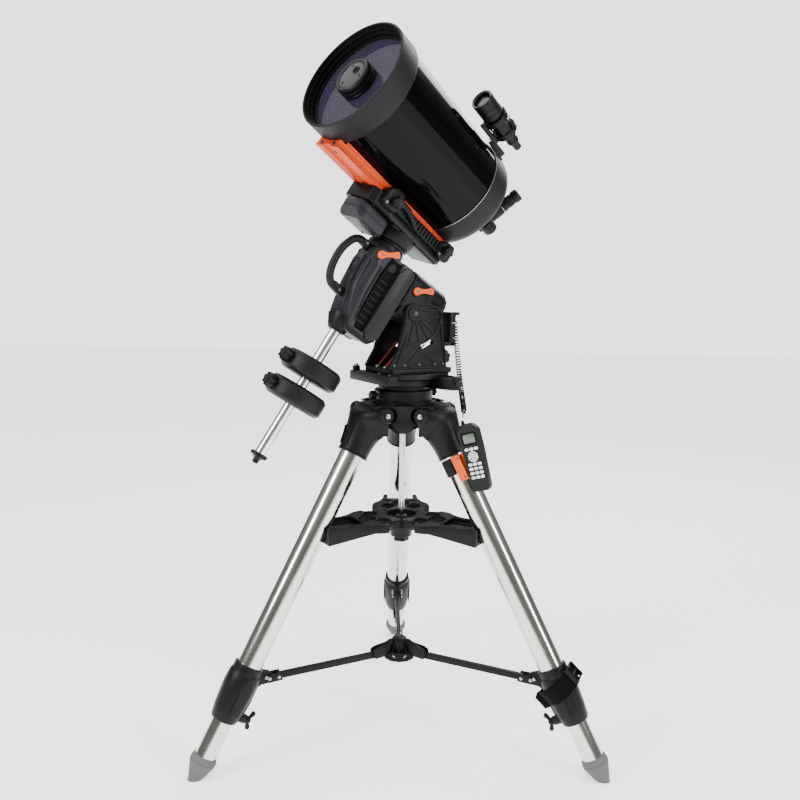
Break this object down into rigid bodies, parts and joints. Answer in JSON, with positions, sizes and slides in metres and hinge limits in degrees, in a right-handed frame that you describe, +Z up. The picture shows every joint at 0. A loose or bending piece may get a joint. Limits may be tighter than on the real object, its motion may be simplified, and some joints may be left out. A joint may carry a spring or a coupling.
{
  "type": "schmidt cassegrain telescope",
  "caption": "Catadioptric telescope tube with finder and diagonal on a German equatorial mount with counterweights, hand controller and a steel tripod.",
  "frame": {"origin": "on the floor, at the middle of the bottom of the object's box, between the tripod's feet", "axes": "+Z up; the tube points up and towards -X -Y, the hand controller hangs on the +X side"},
  "size_m": [1.131, 1.0048, 1.968],
  "materials": {
    "chrome_steel": "polished",
    "black_metal": "satin black",
    "cast_black": "textured black",
    "grey_metal": "satin dark grey",
    "iron": "painted black",
    "chrome": "polished",
    "foot_rubber": "matt grey",
    "orange_metal": "anodised orange",
    "orange_plastic": "orange",
    "corrector_glass": "coated",
    "mirror": "silvered",
    "black_plastic": "matt black",
    "strap_fabric": "woven",
    "key_rubber": "backlit keys"
  },
  "bodies": {
    "tripod": {"tripod_head": "cast_black", "leg_spreader": "cast_black", "center_rod": "chrome_steel", "accessory_tray": "cast_black", "leg_strap": "strap_fabric", "handset_holder": "orange_plastic", "handset_cord": "black_plastic", "leg_yoke_front": "cast_black", "leg_tube_upper_front": "chrome_steel", "leg_clamp_front": "cast_black", "leg_yoke_right": "cast_black", "leg_tube_upper_right": "chrome_steel", "leg_clamp_right": "cast_black", "leg_yoke_back": "cast_black", "leg_tube_upper_back": "chrome_steel", "leg_clamp_back": "cast_black"},
    "lower_leg_front": {"leg_tube_lower_front": "chrome_steel", "leg_foot_front": "foot_rubber"},
    "lock_screw_front": {"leg_lock_knob_front": "black_plastic"},
    "lower_leg_right": {"leg_tube_lower_right": "chrome_steel", "leg_foot_right": "foot_rubber"},
    "lock_screw_right": {"leg_lock_knob_right": "black_plastic"},
    "lower_leg_back": {"leg_tube_lower_back": "chrome_steel", "leg_foot_back": "foot_rubber"},
    "lock_screw_back": {"leg_lock_knob_back": "black_plastic"},
    "tray_knob": {"tray_knob": "black_plastic"},
    "hand_controller": {"hand_controller": "black_plastic"},
    "keypad": {"handset_keypad": "key_rubber"},
    "mount_base": {"azimuth_base": "black_metal", "side_plate_near": "black_metal", "side_plate_far": "black_metal"},
    "azimuth_knob_north": {"azimuth_knob_north": "black_plastic"},
    "azimuth_knob_south": {"azimuth_knob_south": "black_plastic"},
    "polar_housing": {"ra_housing": "cast_black"},
    "latitude_knob": {"latitude_knob": "black_plastic"},
    "ra_clutch_lever": {"ra_clutch_lever": "orange_plastic"},
    "declination_housing": {"dec_housing": "grey_metal", "carry_handle": "black_plastic", "counterweight_shaft": "chrome"},
    "dec_clutch_lever": {"dec_clutch_lever": "orange_plastic"},
    "counterweight_upper": {"counterweight_upper": "iron"},
    "counterweight_knob_upper": {"counterweight_knob_upper": "black_plastic"},
    "counterweight_lower": {"counterweight_lower": "iron"},
    "counterweight_knob_lower": {"counterweight_knob_lower": "black_plastic"},
    "shaft_end_cap": {"shaft_end_cap": "black_metal"},
    "saddle": {"saddle": "black_metal"},
    "saddle_knob_front": {"saddle_knob_front": "black_plastic"},
    "saddle_knob_back": {"saddle_knob_back": "black_plastic"},
    "tube": {"dovetail_rail": "orange_metal", "optical_tube": "black_metal", "front_cell": "black_metal", "corrector_plate": "corrector_glass", "secondary_holder": "black_metal", "rear_cell": "cast_black"},
    "focus_knob": {"focus_knob": "black_plastic"},
    "primary_mirror": {"primary_mirror": "mirror"},
    "star_diagonal": {"star_diagonal": "black_metal"},
    "eyepiece": {"eyepiece": "black_metal"},
    "finder": {"finder_scope": "black_metal", "finder_bracket": "black_metal"}
  },
  "joints": [
    {"name": "leg_extension_front", "type": "slide", "parent": "tripod", "child": "lower_leg_front", "axis": [-0.4163, -0.2541, -0.873], "range_m": [0, 0.33]},
    {"name": "leg_lock_front", "type": "hinge", "parent": "tripod", "child": "lock_screw_front", "pos_m": [-0.42765, -0.40487, 0.13137], "axis": [0.7452, 0.4548, -0.4877], "range_deg": [-180, 180]},
    {"name": "leg_extension_right", "type": "slide", "parent": "tripod", "child": "lower_leg_right", "axis": [0.4282, -0.2335, -0.873], "range_m": [0, 0.33]},
    {"name": "leg_lock_right", "type": "hinge", "parent": "tripod", "child": "lock_screw_right", "pos_m": [0.42406, -0.38406, 0.13137], "axis": [-0.7665, 0.4179, -0.4877], "range_deg": [-180, 180]},
    {"name": "leg_extension_back", "type": "slide", "parent": "tripod", "child": "lower_leg_back", "axis": [-0.0119, 0.4876, -0.873], "range_m": [0, 0.33]},
    {"name": "leg_lock_back", "type": "hinge", "parent": "tripod", "child": "lock_screw_back", "pos_m": [-0.01982, 0.34314, 0.13137], "axis": [0.0213, -0.8727, -0.4877], "range_deg": [-180, 180]},
    {"name": "tray_knob_turn", "type": "hinge", "parent": "tripod", "child": "tray_knob", "pos_m": [-0.0078, -0.1486, 0.572], "axis": [0, 0, 1], "continuous": true},
    {"name": "handset_lift", "type": "slide", "parent": "tripod", "child": "hand_controller", "axis": [-0.4787, -0.878, 0], "range_m": [0, 0.07]},
    {"name": "keypad_press", "type": "slide", "parent": "hand_controller", "child": "keypad", "axis": [0.4787, 0.878, 0], "range_m": [0, 0.0008], "stiffness_N_per_m": 900},
    {"name": "azimuth_turn", "type": "hinge", "parent": "tripod", "child": "mount_base", "pos_m": [-0.0078, -0.1486, 1.04], "axis": [0, 0, 1], "range_deg": [-5, 5]},
    {"name": "azimuth_knob_north_turn", "type": "hinge", "parent": "tripod", "child": "azimuth_knob_north", "pos_m": [-0.09316, -0.2007, 1.003], "axis": [-0.8536, -0.521, 0], "continuous": true},
    {"name": "azimuth_knob_south_turn", "type": "hinge", "parent": "tripod", "child": "azimuth_knob_south", "pos_m": [0.07755, -0.0965, 1.003], "axis": [0.8536, 0.521, 0], "continuous": true},
    {"name": "latitude_tilt", "type": "hinge", "parent": "mount_base", "child": "polar_housing", "pos_m": [-0.01378, -0.15225, 1.235], "axis": [-0.521, 0.8536, 0], "range_deg": [-8, 10]},
    {"name": "latitude_knob_turn", "type": "hinge", "parent": "mount_base", "child": "latitude_knob", "pos_m": [0.10316, -0.08087, 1.105], "axis": [0.8536, 0.521, 0], "continuous": true},
    {"name": "ra_clutch_turn", "type": "hinge", "parent": "polar_housing", "child": "ra_clutch_lever", "pos_m": [0.02256, -0.19603, 1.29615], "axis": [0.521, -0.8536, 0], "range_deg": [-25, 50]},
    {"name": "ra_turn", "type": "hinge", "parent": "polar_housing", "child": "declination_housing", "pos_m": [-0.10308, -0.20676, 1.34422], "axis": [-0.7202, -0.4396, 0.5367], "range_deg": [-35, 35]},
    {"name": "dec_clutch_turn", "type": "hinge", "parent": "declination_housing", "child": "dec_clutch_lever", "pos_m": [-0.07463, -0.26165, 1.39333], "axis": [0.4822, -0.8734, -0.0684], "range_deg": [-45, 0]},
    {"name": "counterweight_upper_slide", "type": "slide", "parent": "declination_housing", "child": "counterweight_upper", "axis": [0.4988, 0.2095, 0.841], "range_m": [-0.012, 0.095]},
    {"name": "counterweight_knob_upper_turn", "type": "hinge", "parent": "counterweight_upper", "child": "counterweight_knob_upper", "pos_m": [-0.32163, -0.33433, 1.1287], "axis": [-0.6042, -0.6116, 0.5108], "continuous": true},
    {"name": "counterweight_lower_slide", "type": "slide", "parent": "declination_housing", "child": "counterweight_lower", "axis": [0.4988, 0.2095, 0.841], "range_m": [-0.15, 0.012]},
    {"name": "counterweight_knob_lower_turn", "type": "hinge", "parent": "counterweight_lower", "child": "counterweight_knob_lower", "pos_m": [-0.36204, -0.35131, 1.06058], "axis": [-0.6042, -0.6116, 0.5108], "continuous": true},
    {"name": "shaft_end_cap_turn", "type": "hinge", "parent": "declination_housing", "child": "shaft_end_cap", "pos_m": [-0.39989, -0.33142, 0.84383], "axis": [-0.4988, -0.2095, -0.841], "continuous": true},
    {"name": "dec_turn", "type": "hinge", "parent": "declination_housing", "child": "saddle", "pos_m": [-0.10308, -0.20676, 1.34422], "axis": [0.4988, 0.2095, 0.841], "range_deg": [-60, 60]},
    {"name": "saddle_knob_front_turn", "type": "hinge", "parent": "saddle", "child": "saddle_knob_front", "pos_m": [-0.0296, -0.31883, 1.52594], "axis": [0.64, -0.7433, -0.1945], "continuous": true},
    {"name": "saddle_knob_back_turn", "type": "hinge", "parent": "saddle", "child": "saddle_knob_back", "pos_m": [0.10832, -0.16891, 1.40678], "axis": [0.64, -0.7433, -0.1945], "continuous": true},
    {"name": "tube_slide", "type": "slide", "parent": "saddle", "child": "tube", "axis": [-0.5844, -0.6353, 0.5049], "range_m": [-0.04, 0.04]},
    {"name": "focus_turn", "type": "hinge", "parent": "tube", "child": "focus_knob", "pos_m": [0.22724, -0.0912, 1.48573], "axis": [0.5844, 0.6353, -0.5049], "range_deg": [-720, 720]},
    {"name": "mirror_focus", "type": "slide", "parent": "tube", "child": "primary_mirror", "axis": [-0.5844, -0.6353, 0.5049], "range_m": [-0.0015, 0.0015]},
    {"name": "diagonal_turn", "type": "hinge", "parent": "tube", "child": "star_diagonal", "pos_m": [0.18839, -0.00638, 1.53758], "axis": [-0.5844, -0.6353, 0.5049], "range_deg": [-60, 60]},
    {"name": "eyepiece_lift", "type": "slide", "parent": "star_diagonal", "child": "eyepiece", "axis": [0.7622, -0.2162, 0.6102], "range_m": [0, 0.036]},
    {"name": "finder_slide", "type": "slide", "parent": "tube", "child": "finder", "axis": [-0.5844, -0.6353, 0.5049], "range_m": [0, 0.03]}
  ],
  "couplings": [
    {"joint": "focus_turn", "follows": "mirror_focus", "rad_per_m": 8333.3}
  ]
}
